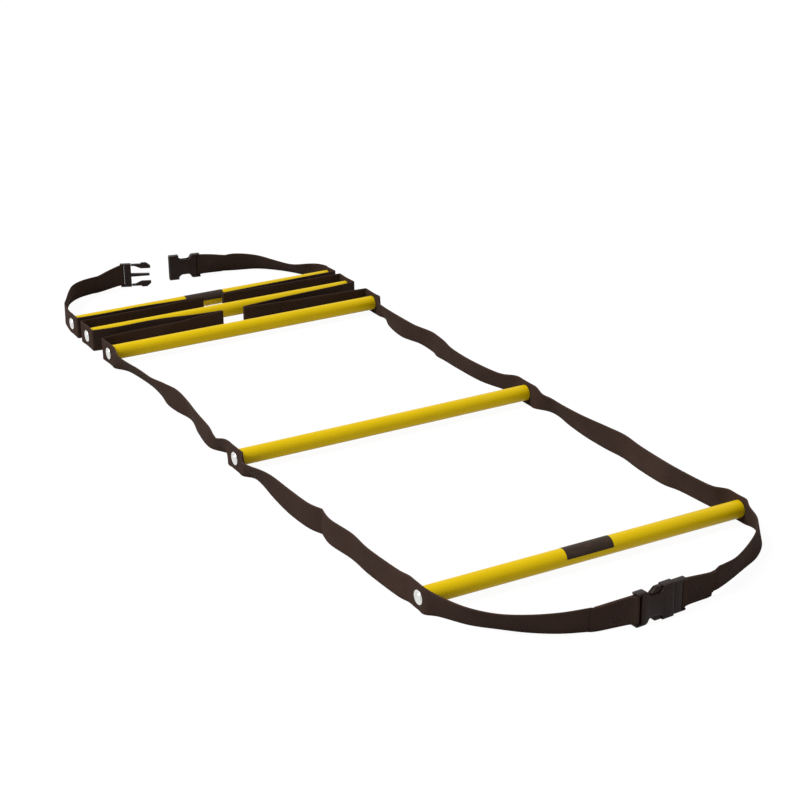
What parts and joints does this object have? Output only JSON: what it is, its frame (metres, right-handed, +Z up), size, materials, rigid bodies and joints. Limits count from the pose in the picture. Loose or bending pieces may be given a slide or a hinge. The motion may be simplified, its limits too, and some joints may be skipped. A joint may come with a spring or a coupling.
{
  "type": "agility ladder",
  "caption": "Agility ladder for footwork drills: round rungs riveted between webbing side straps, with side-release buckles at the ends.",
  "frame": {"origin": "on the floor that the webbing's lower edges rest on, in the middle of the ladder's length and width as it lies", "axes": "+X along the rungs, from the left strap to the right one; +Y along the ladder, from the closed buckle to the open one; +Z up"},
  "size_m": [0.5324, 1.573, 0.047],
  "materials": {
    "tube": "smooth yellow plastic tube, satin gloss",
    "end_plug": "dark moulded plastic",
    "rivet": "plated steel, lightly polished",
    "webbing": "warm black woven webbing",
    "buckle": "black moulded plastic, glossy"
  },
  "bodies": {
    "rung_1_ends": {"rung_1_left_rivet": "rivet", "rung_1_right_rivet": "rivet", "near_left_strap": "webbing", "near_right_strap": "webbing", "near_socket": "buckle", "near_prong_base": "buckle"},
    "rung_2_ends": {"rung_2_left_rivet": "rivet", "rung_2_left_tab": "webbing", "rung_2_right_rivet": "rivet", "rung_2_right_tab": "webbing"},
    "rung_3_ends": {"rung_3_left_rivet": "rivet", "rung_3_left_tab": "webbing", "rung_3_right_rivet": "rivet", "rung_3_right_tab": "webbing"},
    "rung_4_ends": {"rung_4_left_rivet": "rivet", "rung_4_left_tab": "webbing", "rung_4_right_rivet": "rivet", "rung_4_right_tab": "webbing"},
    "rung_5_ends": {"rung_5_left_rivet": "rivet", "rung_5_right_rivet": "rivet", "far_left_strap": "webbing", "far_right_strap": "webbing", "far_socket": "buckle", "far_prong_base": "buckle"},
    "rung_1": {"rung_1_tube": "tube", "rung_1_left_end_plug": "end_plug", "rung_1_right_end_plug": "end_plug"},
    "rung_2": {"rung_2_tube": "tube", "rung_2_left_end_plug": "end_plug", "rung_2_right_end_plug": "end_plug"},
    "rung_3": {"rung_3_tube": "tube", "rung_3_left_end_plug": "end_plug", "rung_3_right_end_plug": "end_plug"},
    "rung_4": {"rung_4_tube": "tube", "rung_4_left_end_plug": "end_plug", "rung_4_right_end_plug": "end_plug"},
    "rung_5": {"rung_5_tube": "tube", "rung_5_left_end_plug": "end_plug", "rung_5_right_end_plug": "end_plug"},
    "bay_2_left_far": {"bay_2_left_far_strap": "webbing"},
    "bay_2_left_near": {"bay_2_left_near_strap": "webbing"},
    "bay_2_right_far": {"bay_2_right_far_strap": "webbing"},
    "bay_2_right_near": {"bay_2_right_near_strap": "webbing"},
    "bay_1_left_far": {"bay_1_left_far_strap": "webbing"},
    "bay_1_left_near": {"bay_1_left_near_strap": "webbing"},
    "bay_1_right_far": {"bay_1_right_far_strap": "webbing"},
    "bay_1_right_near": {"bay_1_right_near_strap": "webbing"},
    "bay_3_left_near": {"bay_3_left_near_strap": "webbing"},
    "bay_3_left_far": {"bay_3_left_far_strap": "webbing"},
    "bay_3_right_near": {"bay_3_right_near_strap": "webbing"},
    "bay_3_right_far": {"bay_3_right_far_strap": "webbing"},
    "bay_4_left_near": {"bay_4_left_near_strap": "webbing"},
    "bay_4_left_far": {"bay_4_left_far_strap": "webbing"},
    "bay_4_right_near": {"bay_4_right_near_strap": "webbing"},
    "bay_4_right_far": {"bay_4_right_far_strap": "webbing"},
    "near_upper_arm": {"near_upper_arm": "buckle"},
    "near_lower_arm": {"near_lower_arm": "buckle"},
    "far_upper_arm": {"far_upper_arm": "buckle"},
    "far_lower_arm": {"far_lower_arm": "buckle"}
  },
  "joints": [
    {"name": "rung_1_swivel", "type": "hinge", "parent": "rung_1_ends", "child": "rung_1", "pos_m": [0.01046, -0.61016, 0.019], "axis": [1, 0, 0], "continuous": true},
    {"name": "rung_2_swivel", "type": "hinge", "parent": "rung_2_ends", "child": "rung_2", "pos_m": [-0.00455, -0.1004, 0.019], "axis": [1, 0, 0], "continuous": true},
    {"name": "rung_3_swivel", "type": "hinge", "parent": "rung_3_ends", "child": "rung_3", "pos_m": [-0.00154, 0.40896, 0.019], "axis": [1, 0, 0], "continuous": true},
    {"name": "rung_4_swivel", "type": "hinge", "parent": "rung_4_ends", "child": "rung_4", "pos_m": [-0.00154, 0.50963, 0.019], "axis": [1, 0, 0], "continuous": true},
    {"name": "rung_5_swivel", "type": "hinge", "parent": "rung_5_ends", "child": "rung_5", "pos_m": [-0.00154, 0.584, 0.019], "axis": [1, 0, 0], "continuous": true},
    {"name": "bay_2_left_fold", "type": "hinge", "parent": "rung_3_ends", "child": "bay_2_left_far", "pos_m": [-0.2517, 0.38296, 0], "axis": [0, 0, 1], "range_deg": [-3, 78]},
    {"name": "bay_2_left_middle_fold", "type": "hinge", "parent": "bay_2_left_far", "child": "bay_2_left_near", "pos_m": [-0.24121, 0.1542, 0], "axis": [0, 0, 1], "range_deg": [-156, 6]},
    {"name": "bay_2_rung_fold", "type": "hinge", "parent": "bay_2_left_near", "child": "rung_2_ends", "pos_m": [-0.2547, -0.0744, 0], "axis": [0, 0, 1], "range_deg": [-3, 78]},
    {"name": "bay_2_fold", "type": "hinge", "parent": "rung_3_ends", "child": "bay_2_right_far", "pos_m": [0.2486, 0.38296, 0], "axis": [0, 0, -1], "range_deg": [-3, 78]},
    {"name": "bay_2_right_near_fold", "type": "hinge", "parent": "rung_2_ends", "child": "bay_2_right_near", "pos_m": [0.2456, -0.0744, 0], "axis": [0, 0, -1], "range_deg": [-78, 3]},
    {"name": "bay_1_fold", "type": "hinge", "parent": "rung_2_ends", "child": "bay_1_left_far", "pos_m": [-0.2547, -0.1264, 0], "axis": [0, 0, 1], "range_deg": [0, 75]},
    {"name": "bay_1_left_middle_fold", "type": "hinge", "parent": "bay_1_left_far", "child": "bay_1_left_near", "pos_m": [-0.24719, -0.35528, 0], "axis": [0, 0, 1], "range_deg": [-150, 0]},
    {"name": "bay_1_rung_fold", "type": "hinge", "parent": "bay_1_left_near", "child": "rung_1_ends", "pos_m": [-0.23969, -0.58416, 0], "axis": [0, 0, 1], "range_deg": [0, 75]},
    {"name": "bay_1_right_fold", "type": "hinge", "parent": "rung_2_ends", "child": "bay_1_right_far", "pos_m": [0.2456, -0.1264, 0], "axis": [0, 0, -1], "range_deg": [0, 75]},
    {"name": "bay_1_right_near_fold", "type": "hinge", "parent": "rung_1_ends", "child": "bay_1_right_near", "pos_m": [0.2606, -0.58416, 0], "axis": [0, 0, -1], "range_deg": [-75, 0]},
    {"name": "bay_3_fold", "type": "hinge", "parent": "rung_3_ends", "child": "bay_3_left_near", "pos_m": [-0.2517, 0.43496, 0], "axis": [0, 0, -1], "range_deg": [-83.9, 3]},
    {"name": "bay_3_left_middle_fold", "type": "hinge", "parent": "bay_3_left_near", "child": "bay_3_left_far", "pos_m": [-0.02399, 0.45929, 0], "axis": [0, 0, -1], "range_deg": [-6, 167.8]},
    {"name": "bay_3_rung_fold", "type": "hinge", "parent": "bay_3_left_far", "child": "rung_4_ends", "pos_m": [-0.2517, 0.48363, 0], "axis": [0, 0, -1], "range_deg": [-83.9, 3]},
    {"name": "bay_3_right_fold", "type": "hinge", "parent": "rung_3_ends", "child": "bay_3_right_near", "pos_m": [0.2486, 0.43496, 0], "axis": [0, 0, 1], "range_deg": [-83.9, 3]},
    {"name": "bay_3_right_middle_fold", "type": "hinge", "parent": "bay_3_right_near", "child": "bay_3_right_far", "pos_m": [0.0209, 0.45929, 0], "axis": [0, 0, 1], "range_deg": [-6, 167.8]},
    {"name": "bay_4_fold", "type": "hinge", "parent": "rung_4_ends", "child": "bay_4_left_near", "pos_m": [-0.2517, 0.53563, 0], "axis": [0, 0, -1], "range_deg": [-87.2, 1]},
    {"name": "bay_4_left_middle_fold", "type": "hinge", "parent": "bay_4_left_near", "child": "bay_4_left_far", "pos_m": [-0.02297, 0.54681, 0], "axis": [0, 0, -1], "range_deg": [-2, 174.4]},
    {"name": "bay_4_rung_fold", "type": "hinge", "parent": "bay_4_left_far", "child": "rung_5_ends", "pos_m": [-0.2517, 0.558, 0], "axis": [0, 0, -1], "range_deg": [-87.2, 1]},
    {"name": "bay_4_right_fold", "type": "hinge", "parent": "rung_4_ends", "child": "bay_4_right_near", "pos_m": [0.2486, 0.53563, 0], "axis": [0, 0, 1], "range_deg": [-87.2, 1]},
    {"name": "bay_4_right_middle_fold", "type": "hinge", "parent": "bay_4_right_near", "child": "bay_4_right_far", "pos_m": [0.01988, 0.54681, 0], "axis": [0, 0, 1], "range_deg": [-2, 174.4]},
    {"name": "near_upper_arm_press", "type": "hinge", "parent": "rung_1_ends", "child": "near_upper_arm", "pos_m": [0.01986, -0.77627, 0.0429], "axis": [0.0698, -0.9976, 0], "range_deg": [0, 8], "stiffness_Nm_per_rad": 1},
    {"name": "near_lower_arm_press", "type": "hinge", "parent": "rung_1_ends", "child": "near_lower_arm", "pos_m": [0.01986, -0.77627, 0.0041], "axis": [-0.0698, 0.9976, 0], "range_deg": [0, 8], "stiffness_Nm_per_rad": 1},
    {"name": "far_upper_arm_press", "type": "hinge", "parent": "rung_5_ends", "child": "far_upper_arm", "pos_m": [-0.06507, 0.77338, 0.0429], "axis": [0.3907, 0.9205, 0], "range_deg": [0, 8], "stiffness_Nm_per_rad": 1},
    {"name": "far_lower_arm_press", "type": "hinge", "parent": "rung_5_ends", "child": "far_lower_arm", "pos_m": [-0.06507, 0.77338, 0.0041], "axis": [-0.3907, -0.9205, 0], "range_deg": [0, 8], "stiffness_Nm_per_rad": 1}
  ],
  "couplings": [
    {"joint": "bay_2_left_middle_fold", "follows": "bay_2_fold", "ratio": -2},
    {"joint": "bay_2_rung_fold", "follows": "bay_2_fold", "ratio": 1},
    {"joint": "bay_2_left_fold", "follows": "bay_2_fold", "ratio": 1},
    {"joint": "bay_2_right_near_fold", "follows": "bay_2_fold", "ratio": -1},
    {"joint": "bay_1_left_middle_fold", "follows": "bay_1_fold", "ratio": -2},
    {"joint": "bay_1_rung_fold", "follows": "bay_1_fold", "ratio": 1},
    {"joint": "bay_1_right_near_fold", "follows": "bay_1_fold", "ratio": -1},
    {"joint": "bay_1_right_fold", "follows": "bay_1_fold", "ratio": 1},
    {"joint": "bay_3_left_middle_fold", "follows": "bay_3_fold", "ratio": -2},
    {"joint": "bay_3_rung_fold", "follows": "bay_3_fold", "ratio": 1},
    {"joint": "bay_3_right_middle_fold", "follows": "bay_3_fold", "ratio": -2},
    {"joint": "bay_3_right_fold", "follows": "bay_3_fold", "ratio": 1},
    {"joint": "bay_4_left_middle_fold", "follows": "bay_4_fold", "ratio": -2},
    {"joint": "bay_4_rung_fold", "follows": "bay_4_fold", "ratio": 1},
    {"joint": "bay_4_right_middle_fold", "follows": "bay_4_fold", "ratio": -2},
    {"joint": "bay_4_right_fold", "follows": "bay_4_fold", "ratio": 1}
  ]
}
